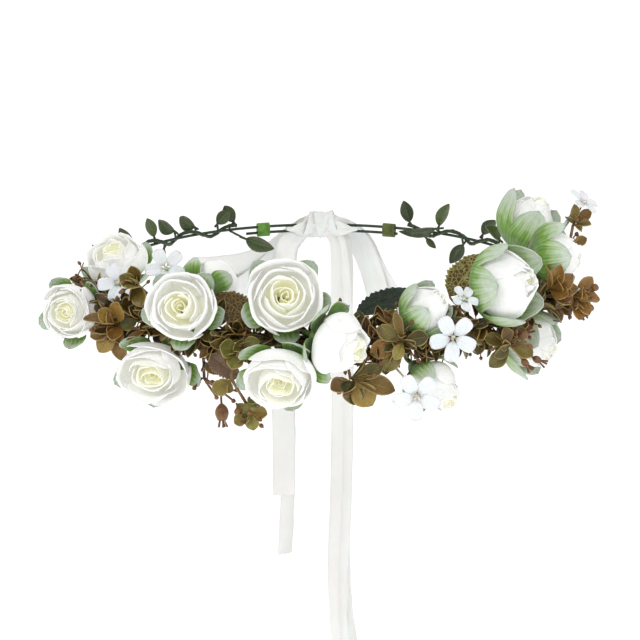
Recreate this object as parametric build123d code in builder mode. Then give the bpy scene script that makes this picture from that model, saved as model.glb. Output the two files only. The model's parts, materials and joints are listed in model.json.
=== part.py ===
# Flower crown: a wire ring with hairpin ends, bound in floral tape, carrying fabric roses, small star
# flowers, leaf sprigs and serrated leaves, and closed at the back by two narrow ribbons tied in a bow.
# Millimetres. The ring's centre line lies in the XY plane, its centre is the origin, +Z is up on the
# wearer's head, -Y is the front.
from build123d import *
from math import sin, cos, radians, pi
import os

# ------------------------------------------------------------------ driving dimensions
RING_R = 90.0            # centre line of the wire ring
WIRE_D = 1.2             # coated wire
HAIRPIN_AT = 172.5       # degrees from the front where each hairpin end turns back
HAIRPIN_GAP = 2.6        # height between the two legs of a hairpin
HAIRPIN_LEG = 14.0       # degrees of ring that the returning leg covers
WRAP_R = 2.2             # bound part of the ring
WRAP_LEFT = 98.0         # degrees from the front that are bound with tape, to the left
WRAP_RIGHT = 113.0       # and to the right
BORE_CLEAR = 0.06        # tape to wire
TAPE_LONG = 3.4          # degrees covered by each end tape
STEM_R = 0.8
BOUND_AT = 1.65          # how near the ring's centre line a bound stem ends
PETAL_T = 0.5            # stiffened petal fabric
LEAF_T = 0.5             # moulded leaf
RIBBON_W = 10.0
RIBBON_T = 0.5
KNOT_Y = 91.0            # centre of the bow's knot
HINGE_Z = -6.5           # underside of the knot, where the tails swing

# Roses: around, out, up of the bloom's centre; turn and rise of its axis; diameter; length;
# around of the place where its stem is bound in
ROSES = {
    "01": ((-69.0, 15.0, -3.5), (-22, 10), 20.0, 15.0, -74),
    "02": ((-77.5, -7.0, 11.5), (-40, 58), 25.0, 16.0, -79),
    "03": ((-30.5, 11.5, 12.0), (-8, 22), 27.0, 17.0, -33),
    "04": ((-40.5, 7.5, -16.5), (-14, -6), 27.5, 17.0, -45),
    "05": ((-36.0, -18.5, 12.5), (150, 12), 21.0, 17.0, -40),
    "06": ((-8.0, 7.5, 18.5), (6, 24), 25.0, 18.0, -10),
    "07": ((3.5, 16.5, 3.5), (55, -8), 22.5, 19.0, -3),
    "08": ((-7.8, 21.5, -7.5), (-10, -14), 25.0, 16.0, -12),
    "09": ((24.5, 2.5, 11.0), (62, 44), 17.0, 20.0, 20),
    "10": ((45.5, 7.0, 15.5), (52, 16), 26.5, 26.0, 38),
    "11": ((107.0, -1.0, 16.5), (95, 64), 25.0, 23.0, 107),
    "12": ((74.5, 5.0, 15.0), (86, 8), 24.0, 21.0, 66),
    "13": ((63.0, 1.6, -14.8), (52, -22), 23.0, 21.0, 56),
    "14": ((25.5, 6.5, -18.5), (48, -32), 19.0, 20.0, 21),
}

# Star flowers: around, out, up of the centre; turn and rise of the face; diameter; where bound in
STARS = {
    "1": ((-58.5, 1.5, 10.8), (-12, 34), 15.5, -61),
    "2": ((-43.5, -4.5, 20.5), (-4, 30), 15.0, -47),
    "3": ((27.5, 14.0, 2.0), (8, 6), 17.0, 27),
    "4": ((18.2, 20.5, -16.5), (-6, 2), 17.0, 11.5),
    "5": ((101.5, 19.0, 26.0), (62, 52), 13.0, 101),
    "6": ((33.0, 6.4, 13.4), (34, 42), 10.5, 32),
}

# Serrated leaves: base and tip (around, out, up), width, the way the upper face looks
BLADES = {
    "1": ((8.5, -5.5, 8.0), (34.5, -19.5, 10.0), 13.0, (-20, 60)),
    "2": ((41.0, -16.0, 7.5), (59.0, -16.0, 20.0), 14.0, (-30, 22)),
    "3": ((-16.0, 2.0, 6.0), (-29.0, -7.5, 13.0), 13.0, (20, 20)),
    "4": ((-18.0, 5.0, -14.0), (-27.5, 4.0, -4.5), 12.0, (0, -30)),
}


def station(around, out, up):
    """A point beside the ring: degrees round from the front, mm outside it, mm above it."""
    a = radians(around)
    return Vector((RING_R + out) * sin(a), -(RING_R + out) * cos(a), up)


def heading(turn, rise):
    """A direction: turn 0 looks to the front, 90 to +X; rise lifts it towards +Z."""
    t, s = radians(turn), radians(rise)
    return Vector(cos(s) * sin(t), -cos(s) * cos(t), sin(s))


def across(direction, face):
    """The part of the face direction that is square to a given direction."""
    d = direction.normalized()
    return (face - d * face.dot(d)).normalized()


def tube(points, radius, wound=False):
    """A round rod through the points: straight runs joined by arcs, or a smooth winding line."""
    points = [Vector(p) for p in points]
    kept = points[:1]
    for k in range(1, len(points) - 1):
        before, after = points[k] - kept[-1], points[k + 1] - points[k]
        if wound or 4.0 < before.get_angle(after) < 150.0:
            kept.append(points[k])
    kept.append(points[-1])
    with BuildPart() as rod:
        with BuildLine():
            if wound:
                path = Spline(*kept)
            elif len(kept) == 2:
                path = Line(*kept)
            else:
                runs = [(q - p).length for p, q in zip(kept, kept[1:])]
                path = FilletPolyline(*kept, radius=[0.42 * min(p, q) for p, q in zip(runs, runs[1:])])
        with BuildSketch(Plane(origin=path @ 0, z_dir=path % 0)):
            Circle(radius)
        sweep(path=path)
    return rod.part


def ring_band(start, stop, outer, bore, squash=1.0):
    """A piece of tube bent round the ring between two stations, bored for the wire."""
    with BuildPart() as band:
        with BuildSketch(Plane.XZ):
            with Locations((RING_R, 0)):
                Ellipse(outer, outer * squash)
                Circle(bore, mode=Mode.SUBTRACT)
        revolve(axis=Axis.Z, revolution_arc=stop - start)
    return band.part.rotate(Axis.Z, start - 90.0)


def whorl(at, axis, start, count, span, foot, waist, mouth, side):
    """Overlapping petals: each is part of a cup turned about the flower's axis."""
    petals = []
    for k in range(count):
        spun = side.rotate(Axis((0, 0, 0), tuple(axis)), start + k * 360.0 / count)
        lift = PETAL_T * 1.3 * (k % 2)
        with BuildPart() as petal:
            with BuildSketch(Plane(origin=at, x_dir=spun, z_dir=spun.cross(axis))):
                with BuildLine():
                    outer = ThreePointArc(
                        (foot[0] + lift, foot[1]), (waist[0] + lift, waist[1]), (mouth[0] + lift, mouth[1])
                    )
                    inner = ThreePointArc(
                        (mouth[0] + lift - PETAL_T, mouth[1]),
                        (waist[0] + lift - PETAL_T, waist[1]),
                        (foot[0] + lift - PETAL_T, foot[1]),
                    )
                    Line(outer @ 1, inner @ 0)
                    Line(inner @ 1, outer @ 0)
                make_face()
            revolve(axis=Axis(at, axis), revolution_arc=span)
        petals += petal.part.solids()
    return petals


def leaf_blade(base, tip, width, face, teeth=0, round_tip=False, thick=LEAF_T):
    """A flat leaf from base to tip, smooth, rounded or toothed along its edge."""
    run = tip - base
    long = run.length
    up = across(run, face)
    half = width / 2
    with BuildPart() as leaf:
        with BuildSketch(Plane(origin=base, x_dir=run, z_dir=up)):
            if teeth:
                edge = [(0.0, 0.0)]
                for k in range(1, teeth + 1):
                    s = k / (teeth + 1)
                    w = half * sin(pi * s ** 0.8)
                    edge += [(long * (s - 0.025), w * 0.86), (long * (s + 0.02), w)]
                lower = [(x, -y) for x, y in reversed(edge[1:])]
                with BuildLine():
                    Polyline(*edge, (long, 0.0), *lower, close=True)
                make_face()
            elif round_tip:
                with Locations((long * 0.58, 0)):
                    Ellipse(long * 0.42, half)
                with Locations((long * 0.12, 0)):
                    Rectangle(long * 0.24, width * 0.18)
            else:
                with BuildLine():
                    ThreePointArc((0, 0), (long * 0.5, half), (long, 0))
                    ThreePointArc((long, 0), (long * 0.5, -half), (0, 0))
                make_face()
        extrude(amount=thick / 2, both=True)
    return leaf.part


def bead(centre, radius):
    """A small round piece such as a bud or a flower's eye."""
    with BuildPart() as ball:
        with BuildSketch(Plane(origin=centre, x_dir=(1, 0, 0), z_dir=(0, 1, 0))):
            with BuildLine():
                arc = ThreePointArc((0, -radius), (radius, 0), (0, radius))
                Line(arc @ 1, arc @ 0)
            make_face()
        revolve(axis=Axis(centre, (0, 0, 1)))
    return ball.part


def pod(centre, axis, radius, length):
    """A rose-hip pod with a crown of short points at its tip."""
    side = across(axis, Vector(0.3, 0.2, 1))
    with BuildPart() as hip:
        with BuildSketch(Plane(origin=centre, x_dir=side, z_dir=side.cross(axis))):
            with BuildLine():
                arc = ThreePointArc((radius * 0.3, -length / 2), (radius, 0), (radius * 0.45, length / 2))
                Polyline(arc @ 1, (0, length / 2), (0, -length / 2), arc @ 0)
            make_face()
        revolve(axis=Axis(centre, axis))
    points = []
    for k in range(5):
        lean = side.rotate(Axis((0, 0, 0), tuple(axis)), 72 * k)
        top = centre + axis * (length / 2 - 0.4) + lean * radius * 0.35
        points.append(leaf_blade(top, top + axis * 2.6 + lean * 1.0, 1.1, lean, thick=0.5))
    return [hip.part] + points


# ------------------------------------------------------------------ ring
def wire_ring():
    """One length of wire: round the front, a hairpin at each end, and both legs back into the tape."""
    bend = HAIRPIN_GAP / 2
    end, back = HAIRPIN_AT, HAIRPIN_AT - HAIRPIN_LEG
    nose = bend / RING_R * 180 / pi
    with BuildPart() as wire:
        with BuildLine() as path:
            ThreePointArc(station(-back, 0, -HAIRPIN_GAP), station(-(end + back) / 2, 0, -HAIRPIN_GAP),
                          station(-end, 0, -HAIRPIN_GAP))
            ThreePointArc(station(-end, 0, -HAIRPIN_GAP), station(-end - nose, 0, -bend), station(-end, 0, 0))
            ThreePointArc(station(-end, 0, 0), station(0, 0, 0), station(end, 0, 0))
            ThreePointArc(station(end, 0, 0), station(end + nose, 0, -bend), station(end, 0, -HAIRPIN_GAP))
            ThreePointArc(station(end, 0, -HAIRPIN_GAP), station((end + back) / 2, 0, -HAIRPIN_GAP),
                          station(back, 0, -HAIRPIN_GAP))
        start = station(-back, 0, -HAIRPIN_GAP)
        with BuildSketch(Plane(origin=start, x_dir=(0, 0, 1), z_dir=(path.line % 0))):
            Circle(WIRE_D / 2)
        sweep(path=path.line)
    return wire.part


def end_tape(centre):
    """Tape binding both legs of a hairpin: a stadium section with a hole for each leg."""
    r = WIRE_D / 2 + BORE_CLEAR
    with BuildPart() as tape:
        with BuildSketch(Plane.XZ):
            with Locations((RING_R, -HAIRPIN_GAP / 2)):
                SlotCenterToCenter(HAIRPIN_GAP, 3.4, rotation=90)
            with Locations((RING_R, 0), (RING_R, -HAIRPIN_GAP)):
                Circle(r, mode=Mode.SUBTRACT)
        revolve(axis=Axis.Z, revolution_arc=TAPE_LONG)
    return tape.part.rotate(Axis.Z, centre - TAPE_LONG / 2 - 90.0)


def vine(side, first, last, leaves):
    """A plastic vine wound loosely round the wire, with short-stalked leaves."""
    turns = (last - first) / 14
    steps = round(turns * 10)
    points = []
    for k in range(steps + 1):
        f = k / steps
        phase = radians(90 + 360 * turns * f)
        reach = 1.9
        points.append(station(side * (first + (last - first) * f), reach * cos(phase), reach * sin(phase)))
    pieces = [tube(points, 0.75, wound=True)]
    for around, out, rise, turn, length, width, face in leaves:
        foot = station(side * around, out, 3.1 if rise > 0 else -3.4)
        tip = foot + heading(turn, rise) * length
        pieces.append(leaf_blade(foot, tip, width, heading(*face)))
        wire = station(side * min(around, 153), 0, 0)
        gap = WIRE_D / 2 + (0.05 if around <= 153 else 0.6)
        pieces.append(tube([foot, wire + (foot - wire).normalized() * gap], 0.45))
    return pieces


# ------------------------------------------------------------------ flowers
def rose_axis(spec):
    (place, aim, dia, long, bound) = spec
    axis = heading(*aim)
    centre = station(*place)
    return centre - axis * long * 0.5, axis, dia, long, bound


def rose_bloom(spec):
    """Three whorls of petals round a rolled heart, on a small receptacle."""
    base, axis, dia, long, bound = rose_axis(spec)
    side = across(axis, Vector(0.2, 0.1, 1))
    r = dia / 2
    solids = []
    solids += whorl(base, axis, 0, 5, 84, (r * 0.30, 0.6), (r * 0.86, long * 0.38),
                    (r - 0.7, long * 0.80), side)
    solids += whorl(base, axis, 36, 4, 100, (r * 0.24, 0.9), (r * 0.64, long * 0.46),
                    (r * 0.66, long * 0.95), side)
    solids += whorl(base, axis, 80, 3, 128, (r * 0.18, 1.2), (r * 0.42, long * 0.50),
                    (r * 0.38, long), side)
    with BuildPart() as heart:
        with BuildSketch(Plane(origin=base, x_dir=side, z_dir=side.cross(axis))):
            with BuildLine():
                arc = ThreePointArc((r * 0.30, 0.6), (r * 0.26, long * 0.45), (r * 0.10, long * 0.93))
                Polyline(arc @ 1, (0, long * 0.93), (0, 0.2), (r * 0.30, 0.2), arc @ 0)
            make_face()
        revolve(axis=Axis(base, axis))
    return solids + heart.part.solids()


def star_outline(valley, tip, count=5):
    """Corners of a star whose arms bulge before they come to a point."""
    corners = []
    for k in range(count):
        for turn, reach in ((-36, valley), (-21, valley * 1.16), (0, tip), (21, valley * 1.16)):
            a = radians(360 / count * k + turn + 20)
            corners.append((reach * cos(a), reach * sin(a)))
    return corners


def rose_calyx(spec):
    """Hip under the bloom, five pointed sepals hugging it, and the stem bound into the ring."""
    base, axis, dia, long, bound = rose_axis(spec)
    side = across(axis, Vector(0.2, 0.1, 1))
    r = dia / 2
    gap = 0.35
    frame = Plane(origin=base, x_dir=side, z_dir=side.cross(axis))
    w, h = r * 0.86 + PETAL_T * 1.3 + gap, long * 0.38
    foot = r * 0.30 + PETAL_T * 1.3 + gap
    with BuildPart() as cup:
        with BuildSketch(Plane.XZ):
            with BuildLine():
                mid = (foot + w) * 0.56
                inner = ThreePointArc((foot, 0.0), (mid, h * 0.44), (w, h))
                outer = ThreePointArc((w + 0.6, h), (mid + 0.6, h * 0.44 - 0.2), (foot + 0.5, -0.8))
                Line(inner @ 1, outer @ 0)
                Polyline(outer @ 1, (0, -0.8), (0, -0.2), (foot, -0.2), inner @ 0)
            make_face()
        revolve(axis=Axis.Z)
        with BuildSketch(Plane.XY.offset(-2.0)):
            Polygon(*star_outline(foot + 1.0, w + 0.9), align=None)
        extrude(amount=long, mode=Mode.INTERSECT)
    sepals = cup.part.moved(Plane(origin=base, x_dir=side, z_dir=axis).location)
    with BuildPart() as hip:
        with BuildSketch(frame):
            with BuildLine():
                flank = ThreePointArc((r * 0.24, -0.5), (r * 0.25, -2.0), (STEM_R * 0.9, -3.6))
                Polyline(flank @ 1, (0, -3.6), (0, -0.5), flank @ 0)
            make_face()
        revolve(axis=Axis(base, axis))
    foot_point = base - axis * 3.2
    ring_point = station(bound, 0, 0)
    reach = (foot_point - ring_point).normalized()
    end = ring_point + reach * BOUND_AT
    lean = foot_point - axis * min(3.0, (foot_point - end).length * 0.35)
    return [sepals, hip.part, tube([foot_point, lean, end], STEM_R)]


def star_flower(spec):
    """Five narrow petals round an eye, on a thread-like stem."""
    (place, aim, dia, bound) = spec
    centre, axis = station(*place), heading(*aim)
    side = across(axis, Vector(0.1, 0.2, 1))
    pieces = [bead(centre, 1.3)]
    for k in range(5):
        out = side.rotate(Axis((0, 0, 0), tuple(axis)), 72 * k + 36)
        pieces.append(leaf_blade(centre + out * 0.8, centre + out * dia * 0.5 + axis * 0.8, dia * 0.3,
                                 axis, round_tip=True, thick=0.4))
    ring_point = station(bound, 0, 0)
    back = centre - axis * 1.0
    end = ring_point + (back - ring_point).normalized() * BOUND_AT
    pieces.append(tube([back, back - axis * min(4.0, (back - end).length * 0.4), end], 0.5))
    return pieces


# ------------------------------------------------------------------ sprigs
def serrated_leaf(base, tip, width, face):
    """A toothed leaf on a short stalk bound into the ring below it."""
    foot, ring_point = station(*base), station(base[0], 0, 0)
    end = ring_point + (foot - ring_point).normalized() * BOUND_AT
    return [leaf_blade(foot, station(*tip), width, heading(*face), teeth=13), tube([foot, end], 0.5)]


def sprig(bound, hubs, leaves, extras=()):
    """A branching plastic sprig: a stem from the ring through its hubs, leaves growing from them."""
    ring_point = station(bound, 0, 0)
    points = [station(*h) for h in hubs]
    start = ring_point + (points[0] - ring_point).normalized() * BOUND_AT
    pieces = [tube([start] + points, 0.6)]
    for hub, turn, rise, length, width, face in leaves:
        out = heading(turn, rise)
        foot = points[hub] + out * 0.4
        pieces.append(leaf_blade(foot, foot + out * length, width, heading(*face), round_tip=True))
    for hub, kind, turn, rise, length, size in extras:
        out = heading(turn, rise)
        foot = points[hub] + out * 0.3
        tip = foot + out * length
        pieces.append(tube([foot, tip], 0.45))
        if kind == "pod":
            pieces += pod(tip + out * size * 1.1, out, size, size * 2.6)
        elif kind == "bud":
            pieces.append(bead(tip, size))
        else:
            front = across(out, heading(0, 10))
            side = across(front, out)
            pieces.append(bead(tip, 1.4))
            for k in range(5):
                ray = side.rotate(Axis((0, 0, 0), tuple(front)), 72 * k)
                pieces.append(leaf_blade(tip + ray * 0.8, tip + ray * size, size * 0.72, front,
                                         round_tip=True))
    return pieces


# Each sprig: where bound in, hub stations, leaves (hub, turn, rise, length, width, face),
# and stalked extras (hub, kind, turn, rise, length, size)
SPRIGS = {
    "1": (-54, [(-53.0, 7.0, -3.0)],
          [(0, -84, -22, 11, 7, (-20, 40)), (0, -70, -52, 12, 7, (-10, 20)), (0, 30, -74, 13, 7, (-30, 5)),
           (0, -80, 12, 13, 5, (-20, 60)), (0, -60, 40, 10, 6, (10, 20)), (0, 0, 62, 11, 7, (-30, 10)),
           (0, -10, -20, 9, 6, (-10, 60))]),
    "2": (-51, [(-47.0, 4.0, 14.0)],
          [(0, -26, 6, 8, 6, (-10, 70)), (0, -60, 30, 9, 5.5, (10, 10)), (0, 10, -40, 9, 6, (-30, 30)),
           (0, -40, 62, 9, 5, (0, 0))]),
    "3": (-31, [(-31.0, -4.0, -13.0), (-31.5, -4.0, -19.0), (-27.0, -6.0, -24.0)],
          [(0, 40, -20, 8, 5, (0, 50))],
          [(2, "pod", 10, -76, 5, 2.6), (1, "bud", 60, -50, 9, 0.9), (2, "bud", 62, -30, 6, 0.9),
           (1, "bud", -60, -46, 5, 0.9), (2, "bud", 70, 8, 6, 0.8)]),
    "4": (-17, [(-18.0, 8.0, -3.0), (-20.0, 8.0, -14.0), (-17.5, 4.0, -24.0)],
          [(0, -50, 20, 9, 7, (0, 20)), (0, 60, 34, 9, 6, (0, 30)), (0, -20, -30, 8, 6, (0, 40)),
           (1, -60, -30, 8, 6, (0, 20))],
          [(2, "flower", 30, -52, 4, 6.5), (2, "bud", -60, -40, 4, 1.6)]),
    "5": (5, [(6.0, 9.0, -12.0)],
          [(0, -60, -20, 8, 6, (0, 30)), (0, 30, -60, 9, 8, (0, 20)), (0, 80, -12, 16, 7, (0, 30)),
           (0, 60, -40, 12, 9, (0, 10)), (0, 84, 22, 12, 6, (0, 40))]),
    "6": (17, [(17.5, 8.0, 1.0)],
          [(0, -70, 30, 11, 6, (0, 30)), (0, -40, 70, 12, 3.5, (0, 0)), (0, -80, -20, 12, 7, (0, 30)),
           (0, -60, -56, 12, 6, (0, 10)), (0, 80, 14, 9, 6, (0, 30))]),
    "7": (46, [(45.0, 10.0, -7.0)],
          [(0, -80, 20, 10, 5, (20, 20)), (0, -60, -40, 11, 6, (20, 20)), (0, 70, -20, 9, 6, (20, 20)),
           (0, -40, 60, 8, 5, (20, 0))],
          [(0, "pod", 100, 34, 4, 1.7), (0, "pod", 60, -44, 7, 1.4), (0, "pod", 90, -30, 10, 1.4)]),
    "8": (74, [(76.0, 12.0, -1.0)],
          [(0, 20, 30, 8, 5, (40, 20)), (0, 100, 46, 10, 6, (30, 10)), (0, 60, -40, 9, 6, (40, 20)),
           (0, 110, -10, 11, 6, (40, 50)), (0, 30, -60, 9, 5, (30, 0))],
          [(0, "bud", 90, -34, 8, 1.5), (0, "bud", 96, 22, 9, 1.5), (0, "pod", 110, -60, 5, 1.4)]),
    "9": (98, [(100.0, 13.0, 9.0), (101.5, 15.0, 17.0)],
          [(1, 110, 34, 9, 4.5, (20, 20)), (1, 70, 4, 7, 4, (20, 50)), (1, 0, 72, 9, 4, (20, 0)),
           (0, 100, 20, 7, 4, (20, 20))]),
}


# ------------------------------------------------------------------ ribbon
def knot():
    """Knot of the bow, and for each end of the ring a ribbon loop threaded through the hairpin."""
    middle = Vector(-0.5, KNOT_Y, -1.2)
    with BuildPart() as body:
        with BuildSketch(Plane.XY.offset(-6.0)):
            with Locations((middle.X, middle.Y)):
                Ellipse(8.4, 4.4)
        with BuildSketch(Plane.XY.offset(-1.0)):
            with Locations((middle.X, middle.Y)):
                Ellipse(9.2, 5.0)
        with BuildSketch(Plane.XY.offset(4.6)):
            with Locations((middle.X, middle.Y)):
                Ellipse(5.4, 3.2)
        loft()
    pieces = [body.part]
    for side in (-1, 1):
        hole = station(180 - side * 9.5, 0, -HAIRPIN_GAP / 2)
        inward = Vector(middle.X + side * 6.0, hole.Y, hole.Z)
        lift = Vector(0, 2.2, 0)
        pieces.append(tube([hole - lift, hole + lift], 0.55))
        for step in (-1, 1):
            pieces.append(leaf_blade(hole + lift * step * 0.9 + Vector(side * 0.5, 0, 0),
                                     inward + lift * step * 0.9, 8.0, Vector(0, 1, 0), thick=0.8))
    return pieces


def bow_loop(start, direction, long, fan):
    """Two ribbon loops fanned apart; each is a closed flattened loop, as wide as the ribbon."""
    loops = []
    for k, (turn, push) in enumerate(((-fan, 0.0), (fan, 2.4))):
        run = direction.normalized().rotate(Axis((0, 0, 0), (0, 1, 0)), turn)
        out = across(run, Vector(0, 1, 0))
        wide = run.cross(out)
        swell = 3.2
        reach = long - 5 * k
        with BuildPart() as loop:
            with BuildSketch(Plane(origin=start + out * push - wide * RIBBON_W / 2, x_dir=run, z_dir=wide)):
                with BuildLine():
                    top = ThreePointArc((0, 0.3), (reach * 0.5, swell), (reach, 0.8))
                    nose = ThreePointArc(top @ 1, (reach + 0.9, 0), (reach, -0.8))
                    low = ThreePointArc((reach, -0.8), (reach * 0.5, -swell * 0.35), (0, -0.3))
                    Line(low @ 1, top @ 0)
                make_face()
                with BuildLine():
                    t = RIBBON_T
                    a = ThreePointArc((2.5, 0.32), (reach * 0.5, swell - t), (reach - 0.6, 0.5))
                    b = Line(a @ 1, (reach - 0.6, -0.4))
                    c = ThreePointArc(b @ 1, (reach * 0.5, t - swell * 0.35), (2.5, -0.18))
                    Line(c @ 1, a @ 0)
                make_face(mode=Mode.SUBTRACT)
            extrude(amount=RIBBON_W)
        loops.append(loop.part)
    return loops


def tail(x, y, top, bottom, yaw, slant):
    """One hanging end of ribbon, cut across at the bottom."""
    wide = Vector(cos(radians(yaw)), sin(radians(yaw)), 0)
    with BuildPart() as strip:
        with BuildSketch(Plane(origin=(x, y, 0), x_dir=wide, z_dir=Vector(0, 0, 1).cross(wide) * -1)):
            with BuildLine():
                Polyline((-RIBBON_W / 2, bottom), (RIBBON_W / 2, bottom + slant), (RIBBON_W / 2, top - 4),
                         (2.2, top), (-2.2, top), (-RIBBON_W / 2, top - 4), close=True)
            make_face()
        extrude(amount=RIBBON_T / 2, both=True)
    return strip.part


# ------------------------------------------------------------------ build and save
def save(label, pieces):
    """One node: its solids kept side by side under one label."""
    solids = []
    for piece in pieces if isinstance(pieces, list) else [pieces]:
        solids += piece.solids()
    node = Compound(children=solids) if len(solids) > 1 else solids[0]
    node.label = label
    export_step(node, f"parts/{label}.step")


os.makedirs("parts", exist_ok=True)
save("base_wire", wire_ring())
save("front_wrap", ring_band(-WRAP_LEFT, WRAP_RIGHT, WRAP_R, WIRE_D / 2 + BORE_CLEAR))
save("left_end_tape", end_tape(-163.5))
save("right_end_tape", end_tape(161.0))
LEFT_VINE = [
    (104, 0.8, 40, -60, 9, 6, (0, 50)), (112, 0.8, -40, 60, 9, 6, (-60, 20)),
    (119, 0.6, 50, -80, 9, 6, (0, 50)), (128, 0.4, 70, -60, 9, 5, (0, 0)),
    (136, 0.9, 38, -70, 9, 7, (0, 50)), (143, 1.0, 36, -60, 9, 7, (0, 40)),
    (150, 0.7, 52, 80, 8, 6, (0, 20)), (155, 0.6, 60, -60, 9, 6, (0, 20)),
    (157, -5.5, -18, 82, 13, 7, (0, 30)), (132, 0.8, -50, -40, 7, 4, (0, 30)),
]
RIGHT_VINE = [
    (117, 0.6, -46, 60, 9, 6, (60, 20)), (124, 0.6, 44, -80, 9, 6, (0, 50)),
    (131, 0.8, 50, 60, 9, 6, (20, 20)), (145, -4.6, 6, 84, -16, 5.5, (0, 50)),
    (155, 0.3, 74, -80, 10, 6, (0, 0)), (146, 0.5, 66, 70, 11, 6, (20, 0)),
    (138, 0.8, -48, -60, 10, 6, (0, 20)), (150, 0.9, -40, 60, 6, 3, (0, 20)),
]
save("left_vine", vine(-1, WRAP_LEFT + 1.0, 156.0, LEFT_VINE))
save("right_vine", vine(1, WRAP_RIGHT + 1.0, 156.0, RIGHT_VINE))
for number, spec in ROSES.items():
    save(f"rose_{number}_bloom", rose_bloom(spec))
    save(f"rose_{number}_calyx", rose_calyx(spec))
for number, spec in STARS.items():
    save(f"star_flower_{number}", star_flower(spec))
for number, spec in SPRIGS.items():
    save(f"sprig_{number}", sprig(*spec))
for number, spec in BLADES.items():
    save(f"leaf_{number}", serrated_leaf(*spec))
save("ribbon_knot", knot())
save("bow_left_loop", bow_loop(Vector(-9.9, KNOT_Y + 5.2, -1.5), Vector(-0.80, 0.30, -0.48), 50.0, 11))
save("bow_right_loop", bow_loop(Vector(9.9, KNOT_Y + 5.2, -1.5), Vector(0.56, 0.36, -0.74), 52.0, 10))
save("tail_left_outer", tail(-17.5, KNOT_Y - 6.2, HINGE_Z, -124.0, 4, 0.0))
save("tail_left_inner", tail(-15.5, KNOT_Y - 1.0, HINGE_Z, -154.0, 50, 1.2))
save("tail_right_outer", tail(8.4, KNOT_Y - 6.6, HINGE_Z, -196.0, 12, 1.5))
save("tail_right_inner", tail(10.5, KNOT_Y - 0.6, HINGE_Z, -222.0, 60, -2.5))
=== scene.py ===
"""Flower crown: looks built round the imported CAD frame. Metres, the CAD's own frame."""
import json
import math
import bpy
import numpy as np
from mathutils import Matrix, Vector, noise


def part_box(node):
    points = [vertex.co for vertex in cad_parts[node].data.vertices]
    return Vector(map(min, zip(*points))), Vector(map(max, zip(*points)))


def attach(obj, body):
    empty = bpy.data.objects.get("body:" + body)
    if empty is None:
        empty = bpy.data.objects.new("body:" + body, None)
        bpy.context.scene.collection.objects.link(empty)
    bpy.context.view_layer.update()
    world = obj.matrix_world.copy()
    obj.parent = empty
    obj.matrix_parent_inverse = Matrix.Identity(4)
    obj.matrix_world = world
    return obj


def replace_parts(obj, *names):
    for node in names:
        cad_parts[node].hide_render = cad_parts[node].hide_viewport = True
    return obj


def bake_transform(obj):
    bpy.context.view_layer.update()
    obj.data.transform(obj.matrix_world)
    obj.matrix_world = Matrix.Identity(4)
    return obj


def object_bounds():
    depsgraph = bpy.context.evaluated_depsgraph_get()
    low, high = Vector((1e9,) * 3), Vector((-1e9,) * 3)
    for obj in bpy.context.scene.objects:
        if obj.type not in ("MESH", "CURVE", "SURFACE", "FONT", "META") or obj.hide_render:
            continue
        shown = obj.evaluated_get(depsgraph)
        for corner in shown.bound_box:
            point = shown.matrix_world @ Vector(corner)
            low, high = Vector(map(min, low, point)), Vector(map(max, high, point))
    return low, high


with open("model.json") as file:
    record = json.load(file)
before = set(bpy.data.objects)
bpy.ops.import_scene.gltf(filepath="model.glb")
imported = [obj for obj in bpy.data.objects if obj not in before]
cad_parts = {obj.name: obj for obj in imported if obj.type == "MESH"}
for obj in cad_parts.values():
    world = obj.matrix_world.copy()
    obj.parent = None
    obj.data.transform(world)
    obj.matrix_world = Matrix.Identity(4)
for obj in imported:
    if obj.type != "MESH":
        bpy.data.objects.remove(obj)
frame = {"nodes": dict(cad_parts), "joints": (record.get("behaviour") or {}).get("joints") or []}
cad_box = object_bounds()
NODES = frame["nodes"]
MM = 0.001
RING_R = 90 * MM
rng = np.random.default_rng(7)


# ---- reading the CAD frame
def islands(node):
    """The separate closed pieces of one CAD node, as arrays of points."""
    mesh = NODES[node].data
    co = np.zeros(len(mesh.vertices) * 3)
    mesh.vertices.foreach_get("co", co)
    co = co.reshape(-1, 3)
    keys, first = {}, np.zeros(len(co), int)
    for i, p in enumerate(np.round(co / 2e-6).astype(np.int64)):
        first[i] = keys.setdefault(tuple(p), i)
    parent = list(range(len(co)))

    def root(i):
        while parent[i] != i:
            parent[i] = parent[parent[i]]
            i = parent[i]
        return i
    for edge in mesh.edges:
        a, b = root(first[edge.vertices[0]]), root(first[edge.vertices[1]])
        if a != b:
            parent[a] = b
    groups = {}
    for i in range(len(co)):
        groups.setdefault(root(first[i]), []).append(i)
    return [co[g] for g in groups.values()]


def measure(points):
    """Middle, principal directions and full extents of a piece, longest first."""
    mid = points.mean(0)
    _, vecs = np.linalg.eigh(np.cov((points - mid).T))
    axes = vecs[:, ::-1].T
    proj = (points - mid) @ axes.T
    ext = proj.max(0) - proj.min(0)
    order = np.argsort(-ext)
    axes, proj, ext = axes[order], proj[:, order], ext[order]
    mid = mid + ((proj.max(0) + proj.min(0)) / 2) @ axes
    return mid, axes, ext


def near_ring(p):
    """Distance of a point from the ring's centre line."""
    return math.hypot(math.hypot(p[0], p[1]) - RING_R, p[2])


def unit(v):
    v = np.asarray(v, float)
    return v / max(np.linalg.norm(v), 1e-12)


def ends_of(mid, axes, ext):
    """The two ends of a piece along its longest direction."""
    return mid - axes[0] * ext[0] / 2, mid + axes[0] * ext[0] / 2


def patch(nu, nv):
    """u from -1 to 1 across and v from 0 to 1 along a surface of nv rows and nu columns."""
    return np.linspace(-1, 1, nu)[None, :], np.linspace(0, 1, nv)[:, None]


def about(ang, a, b):
    """Directions at the given angles in the plane of a and b."""
    return np.cos(ang)[..., None] * a + np.sin(ang)[..., None] * b


def arc(t, p0, p1, p2):
    """Radius and height along a curve from p0 to p2 that p1 pulls toward itself."""
    return ((1 - t) ** 2 * p0[k] + 2 * t * (1 - t) * p1[k] + t ** 2 * p2[k] for k in (0, 1))


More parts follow.
